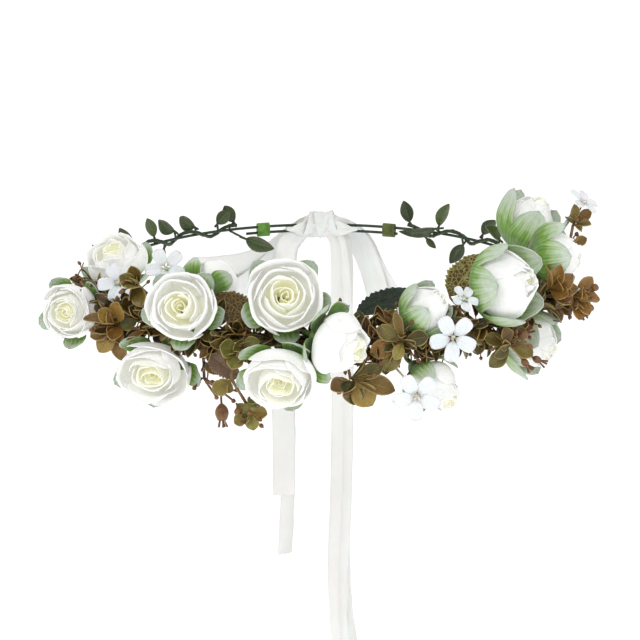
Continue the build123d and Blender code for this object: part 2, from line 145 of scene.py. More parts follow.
# ---- mesh building
class Mesh:
    """Collects patches of quads with a few named values at each point."""

    def __init__(self):
        self.co, self.faces, self.values, self.n = [], [], {}, 0

    def add(self, grid, wrap=False, **values):
        """A rows x columns x 3 grid of points; wrap joins the last column to the first."""
        rows, cols = grid.shape[:2]
        self.co.append(grid.reshape(-1, 3))
        r, c = np.meshgrid(np.arange(rows - 1), np.arange(cols if wrap else cols - 1), indexing="ij")
        d = (c + 1) % cols
        quad = np.stack([r * cols + c, r * cols + d, (r + 1) * cols + d, (r + 1) * cols + c], -1)
        self.faces.append(quad.reshape(-1, 4) + self.n)
        for name, value in values.items():
            full = np.broadcast_to(np.asarray(value, float), (rows, cols)).reshape(-1)
            self.values.setdefault(name, []).append((self.n, full))
        self.n += rows * cols

    def build(self, name, material, slot, body="crown", thick=None, offset=0.0):
        """The object, riding its body unless body is None. The slot argument is not used."""
        mesh = bpy.data.meshes.new(name)
        co = np.concatenate(self.co)
        mesh.from_pydata(co.tolist(), [], np.concatenate(self.faces).tolist())
        for key, parts in self.values.items():
            data = np.zeros(len(co), np.float32)
            for start, full in parts:
                data[start:start + len(full)] = full
            mesh.attributes.new(key, "FLOAT", "POINT").data.foreach_set("value", data)
        mesh.polygons.foreach_set("use_smooth", [True] * len(mesh.polygons))
        mesh.materials.append(material)
        obj = bpy.data.objects.new(name, mesh)
        bpy.context.scene.collection.objects.link(obj)
        if thick:
            mod = obj.modifiers.new("thickness", "SOLIDIFY")
            mod.thickness, mod.offset = thick, offset
            mod.use_even_offset = False
        if body:
            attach(obj, body)
        return obj


def smooth(a, b, x):
    t = np.clip((x - a) / (b - a), 0, 1)
    return t * t * (3 - 2 * t)


def wobble(points, scale, seed):
    """Smooth noise from -1 to 1 at each point."""
    flat = points.reshape(-1, 3)
    out = [noise.noise(Vector(p) * scale + Vector((seed * 7.3, seed * 3.1, seed))) for p in flat]
    return np.array(out).reshape(points.shape[:-1])


def follow(points, count):
    """An even, smooth line of count points through the given ones."""
    pts = np.asarray(points, float)
    ext = np.vstack([2 * pts[0] - pts[1], pts, 2 * pts[-1] - pts[-2]])
    line = []
    for i in range(1, len(ext) - 2):
        p0, p1, p2, p3 = ext[i - 1:i + 3]
        for t in np.linspace(0, 1, 16, endpoint=False):
            line.append(0.5 * (2 * p1 + (p2 - p0) * t + (2 * p0 - 5 * p1 + 4 * p2 - p3) * t ** 2
                               + (3 * p1 - p0 - 3 * p2 + p3) * t ** 3))
    line.append(pts[-1])
    line = np.array(line)
    along = np.concatenate([[0], np.cumsum(np.linalg.norm(np.diff(line, axis=0), axis=1))])
    want = np.linspace(0, along[-1], count)
    return np.stack([np.interp(want, along, line[:, k]) for k in range(3)], -1)


def frames(line):
    """Directions square to a line, carried along it without twisting."""
    tan = np.gradient(line, axis=0)
    tan /= np.linalg.norm(tan, axis=1)[:, None]
    n = unit(np.cross(tan[0], [0.31, 0.2, 0.93]))
    side = []
    for t in tan:
        n = unit(n - t * np.dot(n, t))
        side.append(n)
    side = np.array(side)
    return side, np.cross(tan, side)


def rod(mesh, points, radius, count=14, seed=0, rough=0.08, around=10, tone=0.5):
    """A slightly uneven stem through the points, radius a number or (start, end)."""
    line = follow(points, count)
    a, b = frames(line)
    r0, r1 = radius if isinstance(radius, tuple) else (radius, radius)
    s = np.linspace(0, 1, count)
    ang = np.linspace(0, 2 * np.pi, around, endpoint=False)
    ring = about(ang[None], a[:, None], b[:, None])
    r = (r0 + (r1 - r0) * s)[:, None] * (1 + rough * wobble(line[:, None] + ring * 0.001, 900, seed))
    grid = line[:, None] + ring * r[..., None]
    grid = np.concatenate([np.repeat(line[:1, None], around, 1), grid, np.repeat(line[-1:, None], around, 1)])
    s = np.concatenate([[0], s, [1]])
    mesh.add(grid, wrap=True, tone=tone, along=s[:, None])


def turned(mesh, base, axis, profile, around=20, seed=0, rough=0.03, tone=0.5):
    """A body turned about an axis; profile is a list of (radius, height)."""
    axis = unit(axis)
    a = unit(np.cross(axis, [0.3, 0.5, 0.81]))
    b = np.cross(axis, a)
    prof = np.asarray(profile, float)
    line = follow(np.column_stack([prof, np.zeros(len(prof))]), 4 * len(prof))[:, :2]
    ang = np.linspace(0, 2 * np.pi, around, endpoint=False)
    ring = about(ang, a, b)
    grid = np.asarray(base) + ring[None] * line[:, 0][:, None, None] + axis * line[:, 1][:, None, None]
    grid = grid + ring[None] * (rough * line[:, 0][:, None] * wobble(grid, 700, seed))[..., None]
    s = np.linspace(0, 1, len(line))
    mesh.add(grid, wrap=True, tone=tone, along=s[:, None])


# ---- materials
def material(name, **sockets):
    m = bpy.data.materials.new(name)
    m.use_nodes = True
    shader = m.node_tree.nodes["Principled BSDF"]
    for key, value in sockets.items():
        shader.inputs[key.replace("_", " ")].default_value = value
    return m, m.node_tree, shader


def node(tree, kind, **settings):
    n = tree.nodes.new(kind)
    for key, value in settings.items():
        if key.startswith("in_"):
            n.inputs[key[3:].replace("_", " ")].default_value = value
        else:
            setattr(n, key, value)
    return n


def value_of(tree, name):
    return node(tree, "ShaderNodeAttribute", attribute_name=name).outputs["Fac"]


def ramp(tree, source, *stops):
    n = tree.nodes.new("ShaderNodeValToRGB")
    while len(n.color_ramp.elements) < len(stops):
        n.color_ramp.elements.new(0.5)
    for element, (at, colour) in zip(n.color_ramp.elements, stops):
        element.position, element.color = at, (*colour, 1) if len(colour) == 3 else colour
    tree.links.new(source, n.inputs[0])
    return n.outputs[0]


def fade(tree, source, a, b, top=1.0):
    """0 where the source is below a, rising to top where it is above b."""
    return ramp(tree, source, (a, (0, 0, 0)), (b, (top, top, top)))


def mix(tree, factor, a, b):
    n = node(tree, "ShaderNodeMix", data_type="RGBA")
    for socket, value in (("Factor", factor), ("A", a), ("B", b)):
        target = [i for i in n.inputs if i.name == socket and (socket == "Factor" or i.type == "RGBA")][0]
        if isinstance(value, bpy.types.NodeSocket):
            tree.links.new(value, target)
        else:
            target.default_value = value if socket == "Factor" else (*value, 1)
    return [o for o in n.outputs if o.type == "RGBA"][0]


def calc(tree, kind, *args):
    n = node(tree, "ShaderNodeMath", operation=kind)
    for i, value in enumerate(args):
        if isinstance(value, bpy.types.NodeSocket):
            tree.links.new(value, n.inputs[i])
        else:
            n.inputs[i].default_value = value
    return n.outputs[0]


def times(tree, a, b):
    return calc(tree, "MULTIPLY", a, b)


def plus(tree, a, b):
    return calc(tree, "ADD", a, b)


def waves(tree, name, rate):
    """A sine wave along one of the mesh's named values."""
    return calc(tree, "SINE", times(tree, value_of(tree, name), rate))


NOISE, WAVE, CELLS = "ShaderNodeTexNoise", "ShaderNodeTexWave", "ShaderNodeTexVoronoi"


def texture(tree, kind, scale, detail=3.0, stretch=None, **settings):
    """A noise, wave or Voronoi texture in object space; scale is repeats per metre."""
    coord = node(tree, "ShaderNodeTexCoord").outputs["Object"]
    if stretch:
        m = node(tree, "ShaderNodeMapping")
        m.inputs["Scale"].default_value = stretch
        tree.links.new(coord, m.inputs[0])
        coord = m.outputs[0]
    n = node(tree, kind, in_Scale=scale, **settings)
    if "Detail" in n.inputs:
        n.inputs["Detail"].default_value = detail
    tree.links.new(coord, n.inputs["Vector"])
    return n.outputs["Fac"] if "Fac" in n.outputs else n.outputs["Distance"]


def paint(tree, shader, colour):
    tree.links.new(colour, shader.inputs["Base Color"])


def centred(tree, scale, detail, reach):
    """Noise that varies either way from 0."""
    return times(tree, calc(tree, "SUBTRACT", texture(tree, NOISE, scale, detail), 0.5), reach)


def bump(tree, shader, *layers):
    """Each layer is (height socket, distance in metres)."""
    last = None
    for height, distance in layers:
        n = node(tree, "ShaderNodeBump")
        n.inputs["Strength"].default_value = 1.0
        n.inputs["Distance"].default_value = distance
        tree.links.new(height, n.inputs["Height"])
        if last:
            tree.links.new(last, n.inputs["Normal"])
        last = n.outputs[0]
    tree.links.new(last, shader.inputs["Normal"])


def petal_material():
    m, t, s = material(
        "petal_fabric", Roughness=0.72, Subsurface_Weight=0.12, Subsurface_Scale=0.002, Sheen_Weight=0.15,
        Sheen_Roughness=0.5, Specular_IOR_Level=0.25)
    s.inputs["Subsurface Radius"].default_value = (1.0, 0.95, 0.7)
    base = ramp(t, value_of(t, "heart"), (0.0, (0.90, 0.90, 0.885)), (0.30, (0.895, 0.895, 0.84)),
                (0.62, (0.87, 0.87, 0.73)), (0.85, (0.80, 0.79, 0.56)), (1.0, (0.66, 0.64, 0.38)))
    base = mix(t, fade(t, texture(t, NOISE, 180, 3), 0.4, 0.75, 0.3), base, (0.84, 0.86, 0.80))
    base = mix(t, fade(t, value_of(t, "rim"), 0.90, 1.0), base, (0.95, 0.95, 0.94))
    paint(t, s, base)
    # Painted light: the petals glow faintly all over and more towards the heart and creases, lightening their
    # shade as light through the fabric would
    painted_crease_light = ramp(t, value_of(t, "heart"), (0.0, (0.46, 0.46, 0.45)), (0.35, (0.64, 0.64, 0.57)),
                (0.7, (0.85, 0.84, 0.62)), (1.0, (0.75, 0.73, 0.46)))
    t.links.new(painted_crease_light, s.inputs["Emission Color"])
    s.inputs["Emission Strength"].default_value = 0.19
    warp = texture(t, WAVE, 620, 1, (1, 0.3, 0.6), in_Distortion=1.0)
    weft = texture(t, WAVE, 620, 1, (0.2, 0.5, 1), in_Distortion=1.0, bands_direction="Z")
    bump(t, s, (warp, 0.00003), (weft, 0.00003), (texture(t, NOISE, 420, 4), 0.0004))
    return m


def sepal_material():
    m, t, s = material(
        "sepal_fabric", Roughness=0.62, Subsurface_Weight=0.12, Subsurface_Scale=0.001, Sheen_Weight=0.1,
        Specular_IOR_Level=0.3)
    feather = plus(t, times(t, waves(t, "across", 15.0), 0.7), times(t, waves(t, "across", 43.0), 0.6))
    feather = plus(t, feather, centred(t, 330, 4, 4.0))
    along = plus(t, value_of(t, "along"), times(t, feather, 0.070))
    base = ramp(t, along, (0.26, (0.050, 0.130, 0.006)), (0.54, (0.14, 0.31, 0.015)),
                (0.66, (0.34, 0.49, 0.20)), (0.80, (0.52, 0.63, 0.46)), (1.0, (0.64, 0.73, 0.66)))
    base = mix(t, fade(t, texture(t, NOISE, 260, 4), 0.42, 0.7, 0.35), base, (0.30, 0.42, 0.22))
    streak = waves(t, "across", 34.0)
    base = mix(t, times(t, plus(t, streak, 1.0), 0.035), base, (0.75, 0.82, 0.72))
    paint(t, s, base)
    bump(t, s, (streak, 0.00006), (texture(t, NOISE, 900, 3), 0.0002))
    return m


def star_material():
    m, t, s = material(
        "star_fabric", Roughness=0.6, Subsurface_Weight=0.2, Subsurface_Scale=0.0015, Sheen_Weight=0.1,
        Specular_IOR_Level=0.3)
    base = ramp(t, value_of(t, "lv"), (0.0, (0.55, 0.56, 0.50)), (0.25, (0.86, 0.87, 0.90)),
                (1.0, (0.91, 0.91, 0.94)))
    paint(t, s, base)
    bump(t, s, (waves(t, "lu", 22.0), 0.00005), (texture(t, NOISE, 800, 3), 0.0002))
    return m


def leaf_material(name, dark, mid, light, rim, veins=9.0, gloss=0.38, net=False, second=None):
    """A moulded leaf: tone picks its colour, ribs run from the midrib, the rim is lighter."""
    m, t, s = material(
        name, Roughness=gloss, Coat_Weight=0.0 if net else 0.12, Coat_Roughness=0.35,
        Specular_IOR_Level=0.12 if net else 0.4)
    tone = plus(t, value_of(t, "tone"), centred(t, 230, 3, 0.55))
    base = ramp(t, tone, (0.1, dark), (0.5, mid), (0.9, light))
    if second:
        base = mix(t, value_of(t, "hue"), base, ramp(t, tone, *zip((0.1, 0.5, 0.9), second)))
    lu, lv = calc(t, "ABSOLUTE", value_of(t, "lu")), value_of(t, "lv")
    slanted = calc(t, "SUBTRACT", lv, times(t, lu, 0.28))
    rib = fade(t, calc(t, "SINE", times(t, slanted, veins * 6.283)), 0.72, 0.97)
    midrib = ramp(t, lu, (0.0, (1, 1, 1)), (0.09, (0, 0, 0)))
    lines = calc(t, "MAXIMUM", times(t, rib, 0.5), midrib)
    layers = []
    if net:
        cells = texture(t, CELLS, 520, 0, feature="DISTANCE_TO_EDGE")
        wall = ramp(t, cells, (0.0, (1, 1, 1)), (0.10, (0, 0, 0)))
        lines = calc(t, "MAXIMUM", lines, wall)
        layers.append((wall, -0.00025))
    base = mix(t, times(t, lines, 0.85 if net else 0.55), base, rim)
    base = mix(t, times(t, fade(t, lu, 0.84, 0.99), 0.75), base, rim)
    paint(t, s, base)
    layers += [(lines, 0.00025), (texture(t, NOISE, 500, 4), 0.00025)]
    bump(t, s, *layers)
    return m


def stem_material(name, low, high, gloss=0.45, scale=300):
    m, t, s = material(name, Roughness=gloss, Specular_IOR_Level=0.35)
    shift = times(t, calc(t, "SUBTRACT", value_of(t, "tone"), 0.5), 0.4)
    blotch = plus(t, texture(t, NOISE, scale, 5), shift)
    paint(t, s, ramp(t, blotch, (0.3, low), (0.7, high)))
    bump(t, s, (texture(t, NOISE, 1400, 4), 0.0002))
    return m


def tape_material(name, low, high):
    """Crepe paper tape: fine stretched creases across the wrap."""
    m, t, s = material(name, Roughness=0.8, Sheen_Weight=0.1, Specular_IOR_Level=0.25)
    paint(t, s, ramp(t, texture(t, NOISE, 350, 5), (0.3, low), (0.7, high)))
    bump(t, s, (texture(t, NOISE, 900, 5, (1, 1, 3)), 0.0004))
    return m


def ribbon_material():
    """Ivory satin-faced ribbon: fine lengthwise weave, soft sheen, slight cloudiness."""
    m, t, s = material(
        "ribbon_satin", Roughness=0.48, Sheen_Weight=0.25, Sheen_Roughness=0.35, Subsurface_Weight=0.15,
        Subsurface_Scale=0.001, Specular_IOR_Level=0.35, Anisotropic=0.3)
    selvedge = fade(t, calc(t, "ABSOLUTE", value_of(t, "across")), 0.9, 0.96)
    cloud = ramp(t, texture(t, NOISE, 60, 3), (0.35, (0.86, 0.855, 0.835)), (0.7, (0.90, 0.895, 0.88)))
    paint(t, s, mix(t, times(t, selvedge, 0.35), cloud, (0.93, 0.93, 0.92)))
    weave = times(t, waves(t, "across", 180.0), waves(t, "metres", 21000.0))
    bump(t, s, (weave, 0.00002), (selvedge, 0.00008), (texture(t, NOISE, 240, 3), 0.0002))
    return m


PETAL, SEPAL, STAR, RIBBON = petal_material(), sepal_material(), star_material(), ribbon_material()
OLIVE = leaf_material(
    "leaf_olive", (0.048, 0.019, 0.004), (0.19, 0.084, 0.013), (0.42, 0.20, 0.04), (0.45, 0.32, 0.11),
    gloss=0.32, second=((0.045, 0.050, 0.010), (0.15, 0.15, 0.028), (0.33, 0.31, 0.08)))
VINE = leaf_material(
    "leaf_vine", (0.014, 0.026, 0.005), (0.040, 0.066, 0.012), (0.080, 0.115, 0.026), (0.15, 0.19, 0.08),
    veins=7.0, gloss=0.3)
GREEN_BLADE = leaf_material(
    "leaf_dark_green", (0.003, 0.008, 0.004), (0.007, 0.015, 0.007), (0.014, 0.028, 0.013),
    (0.032, 0.050, 0.028), veins=11.0, gloss=0.42, net=True)
NET_BLADE = leaf_material(
    "leaf_net", (0.05, 0.018, 0.008), (0.085, 0.050, 0.012), (0.13, 0.09, 0.02), (0.40, 0.38, 0.13),
    veins=10.0, gloss=0.5, net=True)
BROWN_BLADE = leaf_material(
    "leaf_brown_net", (0.020, 0.010, 0.005), (0.075, 0.042, 0.012), (0.16, 0.10, 0.03), (0.24, 0.18, 0.07),
    veins=10.0, gloss=0.45, net=True)
RED_BLADE = leaf_material(
    "leaf_red_brown", (0.045, 0.018, 0.008), (0.11, 0.05, 0.018), (0.17, 0.12, 0.03), (0.27, 0.21, 0.08),
    veins=11.0, gloss=0.5)
TWIG = stem_material("twig_red_brown", (0.10, 0.045, 0.016), (0.26, 0.15, 0.055), 0.35)
VINE_STEM = stem_material("stem_vine", (0.012, 0.022, 0.006), (0.045, 0.065, 0.018), 0.35)
POD_SKIN = stem_material("pod_skin", (0.14, 0.045, 0.018), (0.23, 0.13, 0.05), 0.35, 500)
HIP_SKIN = stem_material("hip_green", (0.07, 0.13, 0.03), (0.20, 0.30, 0.09), 0.5, 400)
WIRE = stem_material("wire_green", (0.015, 0.035, 0.015), (0.03, 0.06, 0.025), 0.3, 200)
BROWN_TAPE = tape_material("tape_brown", (0.03, 0.022, 0.01), (0.10, 0.075, 0.03))
BRIGHT_TAPE = tape_material("tape_bright", (0.05, 0.14, 0.015), (0.16, 0.34, 0.06))
OLIVE_TAPE = tape_material("tape_olive", (0.05, 0.06, 0.015), (0.14, 0.16, 0.05))
STAR_EYE = stem_material("star_eye", (0.45, 0.44, 0.30), (0.75, 0.74, 0.60), 0.6, 900)


# ---- roses
def rose_frame(name):
    """Base, axis, radius, length and stem end of a rose, from its bloom and calyx nodes."""
    bloom = np.array([v.co for v in NODES[f"{name}_bloom"].data.vertices])
    middle = (bloom.max(0) + bloom.min(0)) / 2
    _, hip, stem = sorted(islands(f"{name}_calyx"), key=lambda p: np.linalg.norm(p.mean(0) - middle))
    hip_mid = measure(hip)[0]
    axis = unit(middle_on_axis(bloom) - hip_mid)
    base = hip_mid + axis * (((hip - hip_mid) @ axis).max() + 0.5 * MM)
    rel = bloom - base
    high = rel @ axis
    radius = np.linalg.norm(rel - high[:, None] * axis, axis=1).max()
    far = stem[np.argsort(-np.linalg.norm(stem - base, axis=1))[:8]].mean(0)
    return base, axis, radius, high.max(), far


def middle_on_axis(bloom):
    """Centre of a bloom whose petals are spread evenly about its axis."""
    keys = np.unique(np.round(bloom / 1e-5).astype(np.int64), axis=0) * 1e-5
    return keys.mean(0)


# Shares of a petal's length in its curved body and in its rolled lip
CURVED, ROLLED = 0.78, 0.22


def petal(mesh, base, axis, side, R, L, phi, span, control, mouth, lip, roll, seed, point=0.3, off=(0, 0),
          white=0.0):
    """One cupped petal: foot to mouth along a curve drawn by its control point, then a rolled lip.

    control and mouth are (radius, height) as shares of R and L; lip is a share of R, roll in degrees.
    """
    u, v = patch(20, 20)
    ripple = 0.025 * np.sin(u * 3.1 + seed)
    edge = (1 - point * np.abs(u) ** 2.8 + ripple + 0.012 * np.sin(u * 19 + seed * 3)
            + 0.008 * np.sin(u * 53 + seed))
    vv = v * edge
    t, tip = np.clip(vv / CURVED, 0, 1), np.clip((vv - CURVED) / ROLLED, 0, 1)
    foot, ctrl = np.array((0.15 * R, 0.03 * L)), np.array((control[0] * R, control[1] * L))
    end = np.array(((mouth[0] - lip * 0.7) * R, (mouth[1] - lip * 0.2) * L))
    r, z = arc(t, foot, ctrl, end)
    lean = math.atan2(end[0] - ctrl[0], end[1] - ctrl[1])
    turn = math.radians(roll) * (0.75 + 0.5 * np.abs(u) ** 2)
    now = lean + turn * tip
    r = r + lip * R / turn * (math.cos(lean) - np.cos(now))
    z = z + lip * R / turn * (np.sin(now) - math.sin(lean))
    wide = 0.45 + 0.55 * smooth(0.0, 0.6, vv)
    ang = phi + u * math.radians(span) / 2 * wide
    r = r * (1 + 0.10 * np.abs(u) ** 2 * vv) + R * (
        0.05 * u * (0.3 + 0.7 * vv) + 0.022 * vv * np.sin(u * 4.4 + seed * 1.7))
    z = z + R * 0.05 * tip * np.sin(u * 4.1 + seed * 2.3)
    b = np.cross(axis, side)
    out = about(ang, side, b)
    drift = (side * off[0] + b * off[1]) * R
    grid = base + out * r[..., None] + axis * z[..., None] + drift * smooth(0.1, 0.8, vv)[..., None]
    grid = grid + out * (wobble(grid, 150, seed) * 0.05 * R * smooth(0.15, 0.8, vv))[..., None]
    rim = np.maximum(v, np.abs(u) * smooth(0.1, 0.4, v))
    # heart: nearness to the rose's middle and to the petal's foot; it sets the cream heart colour and where
    # the painted light glow is strongest
    deep = smooth(0.66, 0.06, np.maximum(r / R, white)) * 0.78 + 0.26 * (1 - vv) ** 1.5 * (1 - white)
    mesh.add(grid, heart=np.clip(deep, 0, 1), rim=rim)


def rolled_heart(mesh, base, axis, side, R, L, height, seed):
    """The loose roll at a rose's centre."""
    turns = 1.7
    t = np.linspace(0, 1, 60)[None, :]
    v = np.linspace(0, 1, 12)[:, None]
    ang = seed + t * turns * 2 * np.pi
    r = (0.03 + 0.14 * t + 0.012 * np.sin(ang * 3)) * (0.8 + 0.3 * v)
    z = v * (height - 0.08 * t + 0.03 * np.sin(ang * 2.5)) + 0.12 * (1 - v)
    out = about(ang, side, np.cross(axis, side))
    grid = base + out * (r * R)[..., None] + axis * (z * L)[..., None]
    mesh.add(grid, heart=np.clip(0.95 - 0.25 * t + 0.2 * (1 - v), 0, 1), rim=v * 0.95)


# How far each rose is open: 1 wide, 0 a closed bud
OPEN = {1: 0.85, 2: 0.75, 3: 1.0, 4: 0.95, 5: 0.7, 6: 0.95, 7: 0.45, 8: 0.9, 9: 0.1, 10: 0.05, 11: 0.25,
        12: 0.2, 13: 0.25, 14: 0.5}
# How much of its height, seen square on, a rose pressed between its neighbours keeps
PRESSED = {4: 0.80, 8: 0.80, 1: 0.97, 2: 0.86}
# How much wider than its CAD circle the petals' guide circle is, since their corners fall inside it
FIT = {1: 1.38, 2: 1.26, 3: 1.07, 4: 1.24, 5: 1.15, 6: 1.26, 7: 1.24, 8: 1.34, 14: 1.15}
# Sepal reach, as a share of the bloom's length
REACH = {2: 0.42, 5: 0.36, 7: 0.26, 9: 0.76, 10: 0.80, 11: 0.90, 12: 0.82, 13: 0.84, 14: 0.6}
# Five whorls from the heart out: count, span, and for a bud and an open rose (control), (mouth)
WHORLS = [
    (2, 190, (0.30, 0.40), (0.10, 0.96), (0.22, 0.45), (0.23, 0.93), 0.04, 35),
    (3, 150, (0.52, 0.42), (0.18, 0.985), (0.38, 0.42), (0.38, 0.97), 0.07, 55),
    (3, 150, (0.82, 0.42), (0.27, 0.99), (0.56, 0.36), (0.57, 0.95), 0.10, 70),
    (4, 122, (1.16, 0.40), (0.38, 0.975), (0.74, 0.26), (0.78, 0.86), 0.15, 85),
    (4, 124, (1.46, 0.36), (0.54, 0.93), (0.84, 0.12), (0.99, 0.70), 0.20, 85),
]
# Openness below which a rose is drawn as a bud, with broad sepals and one of them turned to the front
BUD = 0.4
FRONT = np.array((0.0, -0.94, 0.34))
ROSES = {}


def lerp(a, b, t):
    return tuple(x + (y - x) * t for x, y in zip(a, b))


def rose(number):
    name = f"rose_{number:02d}"
    base, axis, R, L, far = rose_frame(name)
    ROSES[number] = (base, axis, R, L)
    openness = OPEN[number]
    R = R * FIT.get(number, 1.06)
    side = unit(np.cross(axis, [0.21, 0.35, 0.91]))
    start = number * 1.3
    petals = Mesh()
    rolled_heart(petals, base, axis, side, R, L, rng.uniform(0.74, 0.9) - 0.12 * (1 - openness), start)
    for w, (count, span, c_bud, m_bud, c_open, m_open, lip, roll) in enumerate(WHORLS):
        off = rng.uniform(-0.07, 0.07, 2) if w < 4 else (0, 0)
        for k in range(count):
            control, mouth = lerp(c_bud, c_open, openness), lerp(m_bud, m_open, openness)
            jig = rng.uniform(-1, 1, 4)
            petal(petals, base, axis, side, R, L, start + w * 0.9 + 2 * math.pi * k / count + 0.26 * jig[0],
                  span * (1 + 0.14 * jig[1]), control,
                  (mouth[0] * (1 + 0.08 * (jig[2] - 1) * (w > 0)), mouth[1] * (1 + 0.06 * (jig[3] - 1))),
                  lip * (0.5 + 0.5 * openness), roll * (0.5 + 0.5 * openness) * (1 + 0.2 * jig[3]),
                  seed=number * 31 + w * 7 + k, point=0.30 + 0.10 * (1 - openness), off=off,
                  white=max(0.0, 0.3 + w / 4 - 0.8 * openness) if openness < 0.6 else 0.0)
    sepals = Mesh()
    b = np.cross(axis, side)
    reach = REACH.get(number, 0.46)
    broad, turn = 26, start + 0.35
    if openness < BUD:
        broad, turn = 43, math.atan2(FRONT @ b, FRONT @ side) + 0.10
    for k in range(5):
        u, v = patch(17, 24)
        size = reach * (1 + rng.uniform(-0.10, 0.08))
        r, z = arc(v, (0.17, -0.02), lerp((1.46, 0.26), (0.88, 0.02), openness),
                   lerp((0.90, size), (1.00, size), openness))
        blunt = (1 - v ** 2.0 * 0.45) * np.sqrt(1 - v ** 7.0) * (1 + 0.04 * np.sin(v * 17 + k))
        ang = turn + 2 * math.pi * k / 5 + u * (math.radians(broad) * blunt) + 0.14 * np.sin(k * 2.1) * v
        flare = 0.03 + 0.05 * smooth(0.80, 1.0, v) - 0.02 * np.abs(u) ** 2 * v
        out = about(ang, side, b)
        grid = base + out * ((r + flare) * R)[..., None] + axis * (z * L)[..., None]
        grid = grid + out * (wobble(grid, 170, number * 5 + k) * 0.05 * R * v)[..., None]
        sepals.add(grid, along=v, across=u)
    if number in PRESSED:
        up = unit(np.array([0, 0, 1]) - axis * axis[2])
        for piece in (petals, sepals):
            piece.co = [g - (1 - PRESSED[number]) * ((g - base) @ up)[:, None] * up for g in piece.co]
    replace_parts(petals.build(f"{name}_petals", PETAL, "petal", thick=0.28 * MM), f"{name}_bloom")
    sepals.build(f"{name}_sepals", SEPAL, "sepal", thick=0.3 * MM, offset=1.0)
    hip = Mesh()
    profile = [(0.0, 0.6 * MM), (R * 0.26, 0.3 * MM), (R * 0.27, -0.9 * MM), (R * 0.20, -2.4 * MM),
               (0.9 * MM, -3.5 * MM), (0.0, -3.7 * MM)]
    turned(hip, base, axis, profile, seed=number)
    foot = base - axis * 3.2 * MM
    gap = np.linalg.norm(far - foot)
    lean_at = foot - axis * min(3 * MM, gap * 0.35)
    rod(hip, [foot, lean_at, (lean_at + far) / 2 + (lean_at - foot) * 0.12, far], (0.95 * MM, 0.8 * MM),
        seed=number, tone=0.2)
    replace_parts(hip.build(f"{name}_hip", HIP_SKIN, "sepal"), f"{name}_calyx")


for number in OPEN:
    rose(number)


def blocked(p, grow=1.0):
    """Whether a point lies inside a rose."""
    for base, axis, R, L in ROSES.values():
        rel = np.asarray(p) - base - axis * L * 0.5
        h = rel @ axis
        if (np.linalg.norm(rel - h * axis) / (R * grow)) ** 2 + (h / (L * 0.56 * grow)) ** 2 < 1:
            return True
    return False


# ---- leaves
def leaf(mesh, base, tip, up, width, outline="oval", cup=0.12, bend=0.10, teeth=0, tone=0.5, seed=0,
         nu=13, nv=18, hue=0.0):
    """One leaf from base to tip; cup lifts its sides and bend arches it."""
    run = np.asarray(tip) - base
    L = np.linalg.norm(run)
    run = run / L
    up = unit(up - run * np.dot(up, run))
    side = np.cross(up, run)
    u, v = patch(nu, max(nv, teeth * 4 + 1))
    if outline == "oval":
        half = np.where(v < 0.17, 0.10, np.sin(np.pi * v ** 1.5) ** 0.72)
    elif outline == "petal":
        half = np.where(v < 0.10, 0.22, 0.22 + 0.78 * np.sqrt(np.clip(1 - ((v - 0.62) / 0.52) ** 2, 0, 1)))
        half = half * np.sqrt(np.clip(1 - ((v - 0.5) / 0.5) ** 8, 0, 1)) + 0.01
    else:
        half = np.sin(np.pi * v ** 0.8) ** 0.82 * 0.97 + 0.03
    if teeth:
        half = half * (0.86 + 0.20 * ((v * teeth) % 1.0) * smooth(0.02, 0.1, v))
    w = half * width / 2
    slant = 0.35 * width * 0.12 * np.abs(u) if teeth else 0
    x = v * L + slant
    if outline == "petal":
        x = x - 0.10 * L * v ** 6 * np.exp(-(u / 0.28) ** 2)
    lift = cup * w * np.abs(u) ** 1.6 + bend * L * np.sin(np.pi * v * 0.9) - 0.02 * L * v ** 2
    grid = base + run * x[..., None] + side * (u * w)[..., None] + up * lift[..., None]
    grid = grid + up * (wobble(grid, 260, seed) * 0.05 * width * smooth(0.05, 0.5, v))[..., None]
    rib = 0.02 * width * np.exp(-(u / 0.12) ** 2)
    grid = grid - up * (rib * np.ones_like(v))[..., None]
    mesh.add(grid, lu=u, lv=v, tone=tone, hue=hue)


def kind_of(ext):
    """What a small CAD solid stands for, from its three extents."""
    a, b, c = ext / MM
    if c < 0.8 and b > 1.5:
        return "leaf"
    if c < 0.8:
        return "spike"
    if a < 1.12 * c:
        return "bead"
    if b < 1.15 * c:
        return "pod" if a < 1.9 * b else "stem"
    return "bent"


def base_and_tip(points, mid, axes, ext):
    """The stalk end of a leaf is its narrow end, or on a lens-shaped leaf the end nearest the ring."""
    proj = (points - mid) @ axes.T
    low = np.abs(proj[proj[:, 0] < -0.40 * ext[0], 1]).max()
    high = np.abs(proj[proj[:, 0] > 0.40 * ext[0], 1]).max()
    a, b = ends_of(mid, axes, ext)
    if abs(low - high) > 0.12 * ext[1]:
        return (a, b) if low < high else (b, a)
    return (a, b) if near_ring(a) < near_ring(b) else (b, a)


def facing(normal, at):
    """The side of a thin piece that looks outward and up."""
    want = unit([at[0], at[1], 0]) + np.array([0, -0.25, 0.6])
    return normal if np.dot(normal, want) > 0 else -normal


def bent_line(points, radius):
    """The centre line of a bent rod, read from its surface points."""
    far = points[np.argmax([near_ring(p) for p in points])]
    dist = np.linalg.norm(points - far, axis=1)
    line = []
    for k in range(7):
        lo, hi = dist.max() * k / 7, dist.max() * (k + 1) / 7
        pick = points[(dist >= lo - radius) & (dist <= hi + radius)]
        if len(pick) > 3:
            line.append((pick.max(0) + pick.min(0)) / 2)
    return line


# Radius and height of the buds on twigs beside a leaf and along the wrap
TWIG_BUD = np.array([(0, 0), (0.7, 0.5), (0.85, 1.3), (0.3, 2.1), (0, 2.3)]) * MM
FILLER_BUD = np.array([(0, 0), (0.6, 0.5), (0.7, 1.2), (0.2, 2.0), (0, 2.1)]) * MM


